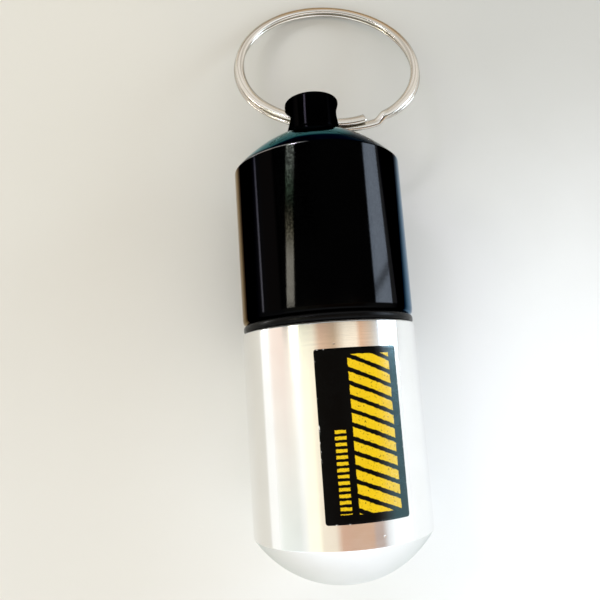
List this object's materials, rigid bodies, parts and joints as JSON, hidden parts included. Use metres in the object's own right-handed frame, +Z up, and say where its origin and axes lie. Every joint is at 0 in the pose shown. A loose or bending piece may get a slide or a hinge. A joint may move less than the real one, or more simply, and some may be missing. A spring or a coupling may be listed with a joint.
{
  "type": "keychain capsule",
  "caption": "Small screw-top metal capsule for a key ring: a domed barrel, a threaded cap with a stud, a rubber seal and a split ring.",
  "frame": {"origin": "on the capsule's axis, where the barrel's straight wall meets its domed bottom", "axes": "+Y along the capsule's axis towards the stud and split ring, +Z up with the capsule lying on its side"},
  "size_m": [0.0217, 0.064, 0.0171],
  "materials": {
    "bare_aluminium": "turned and polished, satin on the dome",
    "black_aluminium": "gloss black anodised",
    "seal_rubber": "semi-matte",
    "nickel_wire": "bright nickel plate",
    "sticker": "printed vinyl, satin"
  },
  "bodies": {
    "barrel": {"barrel": "bare_aluminium", "label": "sticker"},
    "seal": {"o_ring": "seal_rubber"},
    "cap": {"cap": "black_aluminium"},
    "key_ring": {"split_ring": "nickel_wire"}
  },
  "joints": [
    {"name": "cap_turn", "type": "hinge", "parent": "barrel", "child": "seal", "pos_m": [0, 0, 0], "axis": [0, 1, 0], "range_deg": [0, 2070]},
    {"name": "cap_lift", "type": "slide", "parent": "seal", "child": "cap", "axis": [0, 1, 0], "range_m": [0, 0.00575]},
    {"name": "ring_swing", "type": "hinge", "parent": "cap", "child": "key_ring", "pos_m": [0, 0.04115, 0], "axis": [1, 0, 0], "range_deg": [-105, 157]}
  ],
  "couplings": [
    {"joint": "cap_lift", "follows": "cap_turn", "m_per_rad": 0.00015915}
  ]
}
